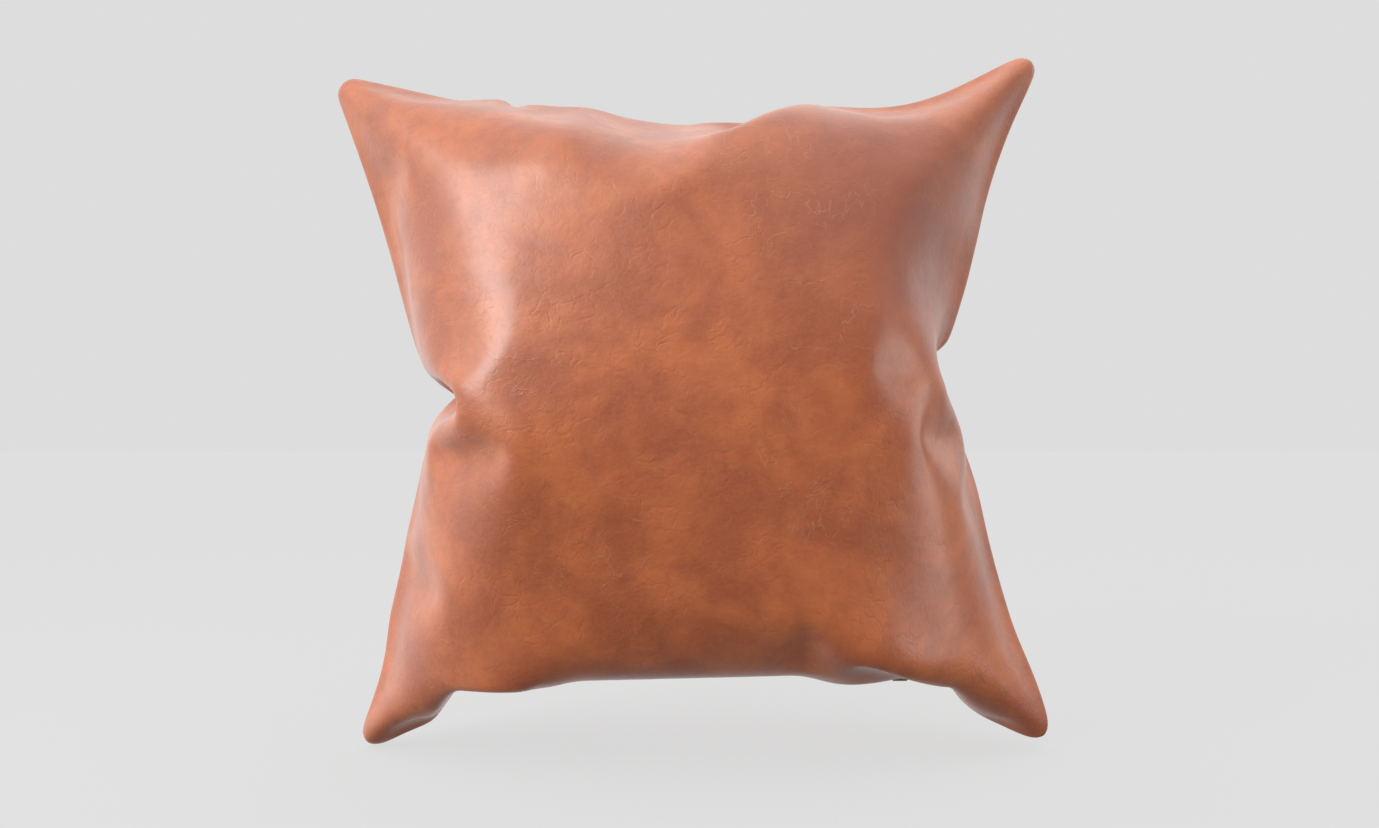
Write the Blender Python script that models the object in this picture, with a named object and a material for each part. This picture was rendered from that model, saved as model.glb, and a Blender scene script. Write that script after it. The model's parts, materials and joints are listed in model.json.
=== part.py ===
"""Square leather throw pillow, standing on its two lower corners.

Two leather panels are sewn edge to edge and turned, so the seam allowances lie inside.
A zip closes the bottom seam, and a separate filled insert with its own case sits inside.
The seam lies in the XZ plane, the front panel faces -Y, and the corners rest on z = 0.
All sizes are in metres.
"""
import math

import bmesh
import bpy

# Overall sizes
WIDTH = 0.4916
HEIGHT = 0.470
THICKNESS = 0.242

# How each corner of the stuffed pillow falls short of the overall sizes
TOP_LEFT_DROP = 0.012
TOP_RIGHT_INSET = 0.008
BOTTOM_LEFT_INSET = 0.019
CORNER_ROUNDING = 0.003

# How far the seam pulls in between the corners
LEFT_PULL = 0.074
RIGHT_PULL = 0.071
TOP_PULL = 0.044
PULL_SHARPNESS = 1.18
SIDE_PULL_PLACE = 0.52
TOP_PULL_PLACE = 0.47

# Underside: a flat seat that reaches past the zip, and a small flat pad under each ear
SEAT_RISE = 0.050
EAR_TOE = 0.007
EAR_PAD = 0.030
EAR_DRIFT = 0.004
SEAT_MARGIN = 0.010
UNDERSIDE_FLATTENING = 0.020

# Leather cover
LEATHER = 0.0012
SEAM_ALLOWANCE = 0.010
SEAM_GAP = 0.00015

# Insert
INSERT_EDGE_INSET = 0.013
INSERT_FACE_INSET = 0.004
INSERT_UNDERSIDE_INSET = 0.016
CASE_CLOTH = 0.0008
FILL_GAP = 0.0008

# Zip in the bottom seam
ZIP_LENGTH = 0.300
ZIP_SLOT = 0.010
ZIP_FOLD = 0.010
TAPE_WIDTH = 0.012
TAPE = 0.0007
TEETH_WIDTH = 0.0062
TEETH_GAP = 0.0016
TOOTH_PITCH = 0.005
TOOTH_LENGTH = 0.0026
TOOTH_DEPTH = 0.0012
TEETH_THICKNESS = 0.0022
STOP_LENGTH = 0.004
END_MARGIN = 0.001
FIT_GAP = 0.0003

# Slider and pull
SLIDER_LENGTH = 0.020
SLIDER_WIDTH = 0.009
SLIDER_PLATE = 0.0016
SLIDER_GAP = 0.0005
WEB_THICKNESS = 0.0008
BAIL_LENGTH = 0.012
BAIL_WIDTH = 0.0024
BAIL_BAR = 0.0014
BAIL_WINDOW = 0.0026
PULL_LENGTH = 0.024
PULL_WIDTH = 0.0075
PULL_THICKNESS = 0.0014
PULL_HOLE_LENGTH = 0.0085
PULL_SIDE_GAP = 0.0004

# Grid of the soft shells: cells along the zip, and up the panel
CELLS_ALONG = 10
CELLS_UP = 18

FRONT = -1
BACK = 1
LEATHER_COLOUR = (0.42, 0.15, 0.07, 1.0)
CASE_COLOUR = (0.80, 0.78, 0.73, 1.0)
FILL_COLOUR = (0.88, 0.87, 0.84, 1.0)
TAPE_COLOUR = (0.20, 0.09, 0.05, 1.0)
METAL_COLOUR = (0.45, 0.36, 0.22, 1.0)

# The four corners as (x, z)
TOP_LEFT = (-WIDTH / 2, HEIGHT - TOP_LEFT_DROP)
TOP_RIGHT = (WIDTH / 2 - TOP_RIGHT_INSET, HEIGHT)
BOTTOM_LEFT = (-WIDTH / 2 + BOTTOM_LEFT_INSET, 0.0)
BOTTOM_RIGHT = (WIDTH / 2, 0.0)
BOTTOM_HALF = (BOTTOM_RIGHT[0] - BOTTOM_LEFT[0]) / 2
ZIP_CENTRE = (BOTTOM_RIGHT[0] + BOTTOM_LEFT[0]) / 2
LEAST_HALF = WIDTH / 2 - max(LEFT_PULL, RIGHT_PULL)
TOE_LINE = 1 - EAR_TOE / BOTTOM_HALF
SEAT_START = BOTTOM_HALF - ZIP_LENGTH / 2 - SEAT_MARGIN

# Heights of the zip's layers above the seat
TAPE_BOTTOM = SEAT_RISE + 2 * LEATHER + FIT_GAP
TAPE_TOP = TAPE_BOTTOM + TAPE
TEETH_TOP = TAPE_BOTTOM - FIT_GAP
TEETH_BOTTOM = TEETH_TOP - TEETH_THICKNESS
TEETH_HALF = TEETH_WIDTH / 2


def lerp(a, b, t):
    """Point or number a share t of the way from a to b."""
    if isinstance(a, tuple):
        return tuple(p + (q - p) * t for p, q in zip(a, b))
    return a + (b - a) * t


def pull_in(t, place):
    """Share of the full pull at t along an edge: 0 at the corners, 1 at its place."""
    side = t / place if t < place else (1 - t) / (1 - place)
    return 1 - (1 - side) ** PULL_SHARPNESS


def underside(x):
    """Height of the underside: 0 under the ears, the seat's height between them."""
    from_tip = min(x - BOTTOM_LEFT[0], BOTTOM_RIGHT[0] - x)
    rise = (from_tip - EAR_PAD) / (SEAT_START - EAR_PAD)
    return SEAT_RISE * min(max(rise, 0.0), 1.0)


def left_edge(t):
    x, z = lerp(BOTTOM_LEFT, TOP_LEFT, t)
    return x + LEFT_PULL * pull_in(t, SIDE_PULL_PLACE), z


def right_edge(t):
    x, z = lerp(BOTTOM_RIGHT, TOP_RIGHT, t)
    return x - RIGHT_PULL * pull_in(t, SIDE_PULL_PLACE), z


def top_edge(t):
    x, z = lerp(TOP_LEFT, TOP_RIGHT, t)
    return x, z - TOP_PULL * pull_in(t, TOP_PULL_PLACE)


def bottom_edge(t):
    x = lerp(BOTTOM_LEFT[0], BOTTOM_RIGHT[0], t)
    return x, underside(x)


def plan_point(u, v):
    """Place (x, z) in the seam plane of panel coordinates u and v, each from -1 to 1."""
    s = (u + 1) / 2
    t = (v + 1) / 2
    across = lerp(left_edge(t), right_edge(t), s)
    up = lerp(bottom_edge(s), top_edge(s), t)
    corners = lerp(
        lerp(BOTTOM_LEFT, BOTTOM_RIGHT, s),
        lerp(TOP_LEFT, TOP_RIGHT, s),
        t,
    )
    x = across[0] + up[0] - corners[0]
    z = across[1] + up[1] - corners[1]
    corner = max(abs(u) - 0.97, 0.0) * max(abs(v) - 0.97, 0.0) / 0.03 ** 2
    x -= math.copysign(CORNER_ROUNDING * corner, u)
    z -= math.copysign(CORNER_ROUNDING * corner, v)
    return x, z


def crown(u, v):
    """Share of the full bulge at u and v: 1 at the middle, 0 along the seam."""
    return math.sqrt(max(1 - u * u, 0.0) * max(1 - v * v, 0.0))


def shell_point(u, v, edge_inset, face_inset, under_inset, whole_inset=0.0):
    """Point of a soft layer as (x, bulge, z), moved inwards by the three insets.

    Layers of one cover share its whole inset, so that their undersides stay parallel.
    """
    scale = 1 - edge_inset / LEAST_HALF
    whole = 1 - whole_inset / LEAST_HALF
    x, z = plan_point(u * scale, v * scale)
    low = max(-v - 0.5, 0.0) / 0.5
    side = min((1 - abs(u)) / (1 - TOE_LINE), 1.0)
    z = z - UNDERSIDE_FLATTENING * low * low * side
    z = max(z, underside(plan_point(u * whole, v * whole)[0]) + under_inset)
    return x, (THICKNESS / 2 - SEAM_GAP - face_inset) * crown(u, v), z


def above_bottom_seam(x):
    """Free edge (x, z) of the bottom seam's allowance: it leans in from an ear's tip."""
    from_tip = min(x - BOTTOM_LEFT[0], BOTTOM_RIGHT[0] - x)
    lean = SEAM_ALLOWANCE * max(1 - from_tip / SEAT_START, 0.0)
    x += lean if x < ZIP_CENTRE else -lean
    return x, underside(x) + SEAM_ALLOWANCE


def grid_lines():
    """Panel coordinates of the grid lines, which meet the ear pads and the zip's ends."""
    slope_middle = (EAR_PAD + SEAT_START) / 2
    from_tip = (0.0, EAR_TOE, EAR_PAD - EAR_DRIFT, slope_middle, SEAT_START)
    beside = [1 - distance / BOTTOM_HALF for distance in from_tip]
    zip_end = ZIP_LENGTH / 2 / BOTTOM_HALF
    along = [lerp(-zip_end, zip_end, k / CELLS_ALONG) for k in range(CELLS_ALONG + 1)]
    u_lines = [-u for u in beside] + along + beside[::-1]
    v_lines = []
    for k in range(CELLS_UP + 1):
        even = -1 + 2 * k / CELLS_UP
        crowded = -math.cos(math.pi * k / CELLS_UP)
        v_lines.append(lerp(even, crowded, 0.75))
    return u_lines, v_lines


U_LINES, V_LINES = grid_lines()
LAST_U = len(U_LINES) - 1
FIRST_ZIP_LINE = (LAST_U - CELLS_ALONG) // 2
LAST_V = len(V_LINES) - 1


def border():
    """Grid places around the panel's edge, in order."""
    places = [(i, 0) for i in range(LAST_U)]
    places += [(LAST_U, j) for j in range(LAST_V)]
    places += [(i, LAST_V) for i in range(LAST_U, 0, -1)]
    places += [(0, j) for j in range(LAST_V, 0, -1)]
    return places


def in_zip(i, j):
    """True on the stretch of the bottom edge where the zip opens the seam."""
    return j == 0 and FIRST_ZIP_LINE <= i <= FIRST_ZIP_LINE + CELLS_ALONG


def is_edge(i, j):
    return i in (0, LAST_U) or j in (0, LAST_V)


def add_skin(bm, side, place):
    """Grid of vertices at the places that a function gives, with its triangles."""
    grid = {}
    for i, u in enumerate(U_LINES):
        for j, v in enumerate(V_LINES):
            x, bulge, z = place(i, j, u, v)
            grid[i, j] = bm.verts.new((x, side * bulge, z))
    for i in range(LAST_U):
        for j in range(LAST_V):
            a = grid[i, j]
            b = grid[i + 1, j]
            c = grid[i + 1, j + 1]
            d = grid[i, j + 1]
            middle_u = U_LINES[i] + U_LINES[i + 1]
            middle_v = V_LINES[j] + V_LINES[j + 1]
            if middle_u * middle_v > 0:
                bm.faces.new((a, b, c))
                bm.faces.new((a, c, d))
            else:
                bm.faces.new((a, b, d))
                bm.faces.new((b, c, d))
    return grid


def bridge(bm, first, second):
    """Strip of triangles between two closed rows of vertices."""
    count = len(first)
    for k in range(count):
        after = (k + 1) % count
        bm.faces.new((first[k], first[after], second[after]))
        bm.faces.new((first[k], second[after], second[k]))


def material(name, colour, roughness, metallic=0.0):
    mat = bpy.data.materials.new(name)
    mat.use_nodes = True
    shader = mat.node_tree.nodes["Principled BSDF"]
    shader.inputs["Base Color"].default_value = colour
    shader.inputs["Roughness"].default_value = roughness
    shader.inputs["Metallic"].default_value = metallic
    return mat


def finish(name, bm, mat, sharp=math.radians(50)):
    """Object from a closed mesh, with its faces pointing out."""
    bmesh.ops.recalc_face_normals(bm, faces=bm.faces)
    mesh = bpy.data.meshes.new(name)
    bm.to_mesh(mesh)
    bm.free()
    mesh.shade_smooth()
    mesh.set_sharp_from_angle(angle=sharp)
    mesh.materials.append(mat)
    obj = bpy.data.objects.new(name, mesh)
    bpy.context.collection.objects.link(obj)
    return obj


def cover_panel(name, side):
    """Leather panel: outer face, inner face, and the seam allowance turned inwards."""
    bm = bmesh.new()

    def outer(i, j, u, v):
        x, bulge, z = shell_point(u, v, 0.0, 0.0, 0.0)
        if in_zip(i, j):
            return x, ZIP_SLOT / 2, z
        return x, SEAM_GAP + bulge, z

    def inner(i, j, u, v):
        x, bulge, z = shell_point(u, v, LEATHER, LEATHER, LEATHER)
        if in_zip(i, j):
            return x, ZIP_SLOT / 2 + ZIP_FOLD, z
        if is_edge(i, j):
            return x, SEAM_GAP + LEATHER, z
        return x, SEAM_GAP + bulge, z

    def allowance(i, j, depth):
        """Free edge of the allowance: upright in the seam, folded flat along the zip."""
        u = U_LINES[i]
        v = V_LINES[j]
        if in_zip(i, j):
            x, _, z = shell_point(u, v, 0.0, 0.0, 2 * LEATHER)
            return x, side * (ZIP_SLOT / 2 + depth * ZIP_FOLD), z
        x, _, z = shell_point(u, v, SEAM_ALLOWANCE, 0.0, SEAM_ALLOWANCE, SEAM_ALLOWANCE)
        if j == 0:
            x, z = above_bottom_seam(bottom_edge((u + 1) / 2)[0])
        return x, side * (SEAM_GAP + depth * LEATHER), z

    outer_grid = add_skin(bm, side, outer)
    inner_grid = add_skin(bm, side, inner)
    places = border()
    outer_row = [outer_grid[p] for p in places]
    seam_row = [bm.verts.new(allowance(i, j, 0)) for i, j in places]
    inside_row = [bm.verts.new(allowance(i, j, 1)) for i, j in places]
    inner_row = [inner_grid[p] for p in places]
    bridge(bm, outer_row, seam_row)
    bridge(bm, seam_row, inside_row)
    bridge(bm, inside_row, inner_row)
    return finish(name, bm, material(name, LEATHER_COLOUR, 0.5))


def insert_place(step, sides_meet):
    """Place function for a layer of the insert, a step inside its case's outer face."""

    def place(i, j, u, v):
        x, bulge, z = shell_point(
            u,
            v,
            INSERT_EDGE_INSET + step,
            INSERT_FACE_INSET + step,
            INSERT_UNDERSIDE_INSET + step,
            INSERT_EDGE_INSET,
        )
        gap = 0.0 if sides_meet else SEAM_GAP
        return x, gap + (0.0 if is_edge(i, j) else bulge), z

    return place


def insert_case(name, side):
    """One thin cloth panel of the insert's case."""
    bm = bmesh.new()
    outer_grid = add_skin(bm, side, insert_place(0.0, False))
    inner_grid = add_skin(bm, side, insert_place(CASE_CLOTH, False))
    places = border()
    bridge(bm, [outer_grid[p] for p in places], [inner_grid[p] for p in places])
    return finish(name, bm, material(name, CASE_COLOUR, 0.9))


def insert_fill(name):
    """The filling: one solid inside the case."""
    bm = bmesh.new()
    step = CASE_CLOTH + FILL_GAP
    add_skin(bm, FRONT, insert_place(step, True))
    add_skin(bm, BACK, insert_place(step, True))
    bmesh.ops.remove_doubles(bm, verts=bm.verts, dist=1e-6)
    return finish(name, bm, material(name, FILL_COLOUR, 1.0))


def add_prism(bm, outline, low, high, axis):
    """Extrude a closed outline of 2-D points between two places along an axis."""
    if axis == "x":
        rows = [[bm.verts.new((w, p, q)) for p, q in outline] for w in (low, high)]
    elif axis == "y":
        rows = [[bm.verts.new((p, w, q)) for p, q in outline] for w in (low, high)]
    else:
        rows = [[bm.verts.new((p, q, w)) for p, q in outline] for w in (low, high)]
    count = len(outline)
    for k in range(count):
        after = (k + 1) % count
        bm.faces.new((rows[0][k], rows[0][after], rows[1][after], rows[1][k]))
    bm.faces.new(rows[0][::-1])
    bm.faces.new(rows[1])


def rectangle(left, right, low, high):
    return [(left, low), (right, low), (right, high), (left, high)]


def zip_tape(name, side):
    """Woven tape, lying on the folded leather beside the slot."""
    bm = bmesh.new()
    half = ZIP_LENGTH / 2 - END_MARGIN
    inner = side * TEETH_GAP / 2
    outer = side * (TEETH_GAP / 2 + TAPE_WIDTH)
    plan = rectangle(
        ZIP_CENTRE - half,
        ZIP_CENTRE + half,
        min(inner, outer),
        max(inner, outer),
    )
    add_prism(bm, plan, TAPE_BOTTOM, TAPE_TOP, "z")
    return finish(name, bm, material(name, TAPE_COLOUR, 0.9))


def teeth_span():
    """First and last x of the rows of teeth, between the stops."""
    margin = ZIP_LENGTH / 2 - 2 * END_MARGIN - STOP_LENGTH - FIT_GAP
    return ZIP_CENTRE - margin, ZIP_CENTRE + margin


def zip_teeth(name, side):
    """A row of teeth on its moulded bead, in one piece."""
    bm = bmesh.new()
    first, last = teeth_span()
    count = int((last - first - TOOTH_LENGTH) / TOOTH_PITCH)
    start = first + (last - first - (count - 1) * TOOTH_PITCH) / 2
    shift = side * TOOTH_PITCH / 4
    tip = side * TEETH_GAP / 2
    root = side * (TEETH_GAP / 2 + TOOTH_DEPTH)
    outline = [(first, side * TEETH_HALF), (first, root)]
    for k in range(count):
        x = start + k * TOOTH_PITCH + shift
        outline.append((x - TOOTH_LENGTH / 2, root))
        outline.append((x - TOOTH_LENGTH / 2, tip))
        outline.append((x + TOOTH_LENGTH / 2, tip))
        outline.append((x + TOOTH_LENGTH / 2, root))
    outline += [(last, root), (last, side * TEETH_HALF)]
    add_prism(bm, outline, TEETH_BOTTOM, TEETH_TOP, "z")
    return finish(name, bm, material(name, METAL_COLOUR, 0.4, 1.0))


def zip_stop(name, x, low_y, high_y):
    bm = bmesh.new()
    plan = rectangle(x - STOP_LENGTH / 2, x + STOP_LENGTH / 2, low_y, high_y)
    add_prism(bm, plan, TEETH_BOTTOM, TEETH_TOP, "z")
    return finish(name, bm, material(name, METAL_COLOUR, 0.4, 1.0))


def zip_stops():
    """Two small stops at the closed end and one wide stop at the open end."""
    reach = ZIP_LENGTH / 2 - 2 * END_MARGIN - STOP_LENGTH / 2
    tip = TEETH_GAP / 2
    closed = ZIP_CENTRE + reach
    zip_stop("zip_top_stop_front", closed, -TEETH_HALF, -tip)
    zip_stop("zip_top_stop_back", closed, tip, TEETH_HALF)
    zip_stop("zip_bottom_stop", ZIP_CENTRE - reach, -TEETH_HALF, TEETH_HALF)


# Places of the slider and of the pull's pivot
SLIDER_X = ZIP_CENTRE + ZIP_LENGTH / 2 - 2 * END_MARGIN - STOP_LENGTH - SLIDER_LENGTH / 2
OUTER_PLATE_TOP = SEAT_RISE - SLIDER_GAP
OUTER_PLATE_BOTTOM = OUTER_PLATE_TOP - SLIDER_PLATE
INNER_PLATE_BOTTOM = TAPE_TOP + SLIDER_GAP
INNER_PLATE_TOP = INNER_PLATE_BOTTOM + SLIDER_PLATE
PIVOT_Z = OUTER_PLATE_BOTTOM - BAIL_WINDOW / 2


def slider_empty():
    """Empty on the slider's path, which carries the slider and the pull."""
    empty = bpy.data.objects.new("slider_path", None)
    empty.location = (SLIDER_X, 0.0, PIVOT_Z)
    bpy.context.collection.objects.link(empty)
    return empty


def zip_slider(name, parent):
    """Two plates joined by a thin web between the teeth, and a bail for the pull."""
    half = SLIDER_LENGTH / 2
    wide = SLIDER_WIDTH / 2
    web = WEB_THICKNESS / 2
    base = OUTER_PLATE_BOTTOM - PIVOT_Z
    ledge = OUTER_PLATE_TOP - PIVOT_Z
    shelf = INNER_PLATE_BOTTOM - PIVOT_Z
    crest = INNER_PLATE_TOP - PIVOT_Z
    profile = [
        (-wide, base),
        (wide, base),
        (wide, ledge),
        (web, ledge),
        (web, shelf),
        (wide, shelf),
        (wide, crest),
        (-wide, crest),
        (-wide, shelf),
        (-web, shelf),
        (-web, ledge),
        (-wide, ledge),
    ]
    bm = bmesh.new()
    add_prism(bm, profile, -half, half, "x")
    body = finish(name, bm, material(name, METAL_COLOUR, 0.35, 1.0))
    body.parent = parent

    reach = BAIL_LENGTH / 2
    bar_top = -BAIL_WINDOW / 2
    sunk = base + SLIDER_PLATE / 2
    arch = [
        (-reach, sunk),
        (-reach, bar_top),
        (-reach + BAIL_BAR, bar_top - BAIL_BAR),
        (reach - BAIL_BAR, bar_top - BAIL_BAR),
        (reach, bar_top),
        (reach, sunk),
        (reach - BAIL_BAR, sunk),
        (reach - BAIL_BAR, bar_top),
        (-reach + BAIL_BAR, bar_top),
        (-reach + BAIL_BAR, sunk),
    ]
    bm = bmesh.new()
    add_prism(bm, arch, -BAIL_WIDTH / 2, BAIL_WIDTH / 2, "y")
    bail = finish("bail_shape", bm, body.data.materials[0])
    bail.parent = parent
    bail.hide_render = True
    bail.display_type = "WIRE"
    join = body.modifiers.new("bail", "BOOLEAN")
    join.operation = "UNION"
    join.solver = "EXACT"
    join.object = bail
    return body


def zip_pull(name, parent):
    """Flat tab with a slot, whose end bar turns inside the slider's bail."""
    bar = PULL_THICKNESS / 2
    hole = BAIL_WIDTH / 2 + PULL_SIDE_GAP
    wide = PULL_WIDTH / 2
    nose = PULL_WIDTH / 4
    far = PULL_LENGTH
    plan = [
        (bar, -wide),
        (bar, wide),
        (-far + nose, wide),
        (-far, nose),
        (-far, -nose),
        (-far + nose, -wide),
    ]
    window = rectangle(-bar - PULL_HOLE_LENGTH, -bar, -hole, hole)
    bm = bmesh.new()
    add_prism(bm, plan, -bar, bar, "z")
    tab = finish(name, bm, material(name, METAL_COLOUR, 0.35, 1.0))
    tab.parent = parent
    bm = bmesh.new()
    add_prism(bm, window, -2 * bar, 2 * bar, "z")
    cutter = finish("pull_window", bm, tab.data.materials[0])
    cutter.parent = parent
    cutter.hide_render = True
    cutter.display_type = "WIRE"
    cut = tab.modifiers.new("window", "BOOLEAN")
    cut.operation = "DIFFERENCE"
    cut.solver = "EXACT"
    cut.object = cutter
    return tab


def build():
    for old in list(bpy.data.objects):
        bpy.data.objects.remove(old)
    cover_panel("cover_front", FRONT)
    cover_panel("cover_back", BACK)
    insert_case("insert_case_front", FRONT)
    insert_case("insert_case_back", BACK)
    insert_fill("insert_fill")
    zip_tape("zip_tape_front", FRONT)
    zip_tape("zip_tape_back", BACK)
    zip_teeth("zip_teeth_front", FRONT)
    zip_teeth("zip_teeth_back", BACK)
    zip_stops()
    path = slider_empty()
    zip_slider("zip_slider", path)
    zip_pull("zip_pull", path)


build()
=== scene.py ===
# %% [markdown]
# # A square leather throw pillow
# The cover is two equal squares of leather, sewn edge to edge and turned, with a zip in the
# bottom seam. A separate insert fills it, so tightly that the four corners stand out like
# ears and the seam pulls in between them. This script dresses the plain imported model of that
# pillow: it sews and fills the cover by cloth simulation, and gives every piece its finish.
#
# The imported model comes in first. Its pieces give the places that everything else is built to,
# so nothing here has to be measured twice.

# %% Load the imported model
import json
import math

import bpy
import numpy as np
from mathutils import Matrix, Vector
from mathutils.bvhtree import BVHTree


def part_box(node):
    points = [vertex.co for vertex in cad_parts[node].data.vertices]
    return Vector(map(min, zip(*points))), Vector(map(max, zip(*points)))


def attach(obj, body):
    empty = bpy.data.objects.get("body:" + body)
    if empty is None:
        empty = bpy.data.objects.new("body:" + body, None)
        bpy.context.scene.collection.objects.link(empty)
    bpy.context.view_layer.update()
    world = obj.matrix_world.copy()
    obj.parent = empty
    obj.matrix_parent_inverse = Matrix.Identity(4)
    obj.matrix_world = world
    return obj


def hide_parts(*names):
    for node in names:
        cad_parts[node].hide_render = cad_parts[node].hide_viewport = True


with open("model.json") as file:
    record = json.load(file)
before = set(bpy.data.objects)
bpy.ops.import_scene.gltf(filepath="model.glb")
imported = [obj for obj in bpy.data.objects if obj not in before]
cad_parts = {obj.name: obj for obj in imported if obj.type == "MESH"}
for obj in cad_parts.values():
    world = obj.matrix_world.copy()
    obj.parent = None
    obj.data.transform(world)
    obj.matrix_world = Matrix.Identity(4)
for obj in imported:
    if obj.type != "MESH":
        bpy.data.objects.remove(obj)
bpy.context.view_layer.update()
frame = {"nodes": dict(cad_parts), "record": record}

print("packed model:", sorted(frame["nodes"]))

# %% [markdown]
# ## Room, camera and light
# The pillow is seen from the front at the height of its own middle, from fairly close, so the
# swollen middle looks a little larger than the corners.

# %% Camera
CAMERA_DISTANCE = 0.900
CAMERA_HEIGHT = 0.226
CAMERA_LENS = 34.4

camera_data = bpy.data.cameras.new("camera")
camera_data.lens = CAMERA_LENS
camera = bpy.data.objects.new("camera", camera_data)
bpy.context.collection.objects.link(camera)
camera.location = (0, -CAMERA_DISTANCE, CAMERA_HEIGHT)
camera.rotation_euler = (math.radians(90), 0, 0)
bpy.context.scene.camera = camera
bpy.context.scene.view_settings.view_transform = "Standard"
print("camera at", tuple(camera.location))

# %% [markdown]
# The room is one pale grey, as in a studio with a paper sweep. A sweep could be a bent sheet
# behind the object. Here the world itself is that grey for the camera, and for everything else
# it is a soft glow: dim from below and from behind the camera, bright from above, from the back
# and from the left. A dim room in front keeps the leather's colour deep.

# %% Pale room
PAPER_GREY = (0.723, 0.723, 0.723, 1.0)
BRIGHT_SIDE = (-0.36, 0.40, 0.62)
AWAY_FROM_BRIGHT, TOWARDS_BRIGHT = -0.6, 0.7
GLOW_DIM = 0.17
GLOW_BRIGHT = 1.05

world = bpy.data.worlds.new("pale_room")
bpy.context.scene.world = world
world.use_nodes = True
room = world.node_tree
backdrop = room.nodes["Background"]
backdrop.inputs["Color"].default_value = PAPER_GREY
glow = room.nodes.new("ShaderNodeBackground")
glow.inputs["Color"].default_value = (1.0, 1.0, 1.0, 1.0)
direction = room.nodes.new("ShaderNodeTexCoord")
toward = room.nodes.new("ShaderNodeVectorMath")
toward.operation = "DOT_PRODUCT"
toward.inputs[1].default_value = BRIGHT_SIDE
room.links.new(direction.outputs["Generated"], toward.inputs[0])
rise = room.nodes.new("ShaderNodeMapRange")
rise.interpolation_type = "SMOOTHSTEP"
rise.inputs["From Min"].default_value = AWAY_FROM_BRIGHT
rise.inputs["From Max"].default_value = TOWARDS_BRIGHT
rise.inputs["To Min"].default_value = GLOW_DIM
rise.inputs["To Max"].default_value = GLOW_BRIGHT
room.links.new(toward.outputs["Value"], rise.inputs["Value"])
room.links.new(rise.outputs["Result"], glow.inputs["Strength"])
seen = room.nodes.new("ShaderNodeLightPath")
either = room.nodes.new("ShaderNodeMixShader")
room.links.new(seen.outputs["Is Camera Ray"], either.inputs[0])
room.links.new(glow.outputs[0], either.inputs[1])
room.links.new(backdrop.outputs[0], either.inputs[2])
room.links.new(either.outputs[0], room.nodes["World Output"].inputs["Surface"])
print("glow from", GLOW_DIM, "to", GLOW_BRIGHT)

# %% [markdown]
# The floor is one wide sheet in the same grey. It shines a little by itself, so that it meets
# the backdrop without a line, and it takes only a faint shadow. It is hidden from bounced light
# and from reflections, or it would colour the pillow's underside.

# %% Floor
FLOOR_SIZE = 14.0
FLOOR_DROP = 0.0005
FLOOR_SHADE = (0.10, 0.10, 0.10, 1.0)
FLOOR_SHINE = 0.90

bpy.ops.object.select_all(action="DESELECT")
bpy.ops.mesh.primitive_plane_add(size=FLOOR_SIZE, location=(0, 0, -FLOOR_DROP))
floor = bpy.context.object
floor.name = "floor"
paper = bpy.data.materials.new("paper")
paper.use_nodes = True
paper_shader = paper.node_tree.nodes["Principled BSDF"]
paper_shader.inputs["Base Color"].default_value = FLOOR_SHADE
paper_shader.inputs["Roughness"].default_value = 1.0
paper_shader.inputs["Specular IOR Level"].default_value = 0.0
paper_shader.inputs["Emission Color"].default_value = PAPER_GREY
paper_shader.inputs["Emission Strength"].default_value = FLOOR_SHINE
floor.data.materials.append(paper)
floor.visible_diffuse = False
floor.visible_glossy = False
print("floor", FLOOR_SIZE, "m wide")


# %% [markdown]
# Three soft lights stand round it. A tall one high on the left makes the long pale shine on the
# leather. A weak one behind on the right gives that edge a thin rim, and a low one in front on
# the right lifts the shadow. A softbox is an area light: the wider it is, the softer its shine.

# %% Soft lights
def softbox(name, place, aim, width, height, watts):
    """Studio light with a wide face, at a place and turned to face a point."""
    data = bpy.data.lights.new(name, "AREA")
    data.shape = "RECTANGLE"
    data.size = width
    data.size_y = height
    data.energy = watts
    lamp = bpy.data.objects.new(name, data)
    bpy.context.collection.objects.link(lamp)
    lamp.location = place
    turn = Vector(aim) - Vector(place)
    lamp.rotation_euler = turn.to_track_quat("-Z", "Y").to_euler()
    return lamp


MIDDLE = (0.0, 0.0, 0.25)
softbox("window_light", (-1.06, -0.93, 0.86), MIDDLE, width=0.48, height=0.95, watts=8.0)
softbox("side_light", (1.5, 0.75, 0.60), MIDDLE, width=0.7, height=0.7, watts=0.5)
softbox("low_fill", (1.35, -0.60, 0.12), MIDDLE, width=0.9, height=0.9, watts=5.0)

# %% [markdown]
# ## Cutting the leather
# The maker cuts two squares of 508 mm, a common 20 inch cover, and rounds the corners a
# little so that they turn cleanly. A finished pillow is narrower than its flat cut, because
# the filling takes up the leather. Where each part of the seam ends up is known: the packed
# cover gives the four corners and the seat, and three pinches fold the sides and the top in.

# %% Where the seam ends up
CUT = 0.508
HALF_CUT = CUT / 2
CORNER_CUT = 0.012
TIP_INSET = 0.0025
ZIP_ROOM = 0.001

cover_points = [v.co for v in frame["nodes"]["cover_front"].data.vertices]


def ear_tip(right, top):
    """Place (x, z) of a corner of the seam; right and top are 1 or -1."""
    far = max(cover_points, key=lambda p: right * p.x + top * p.z)
    return far.x - right * TIP_INSET, far.z - (TIP_INSET if top > 0 else 0.0)


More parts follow.
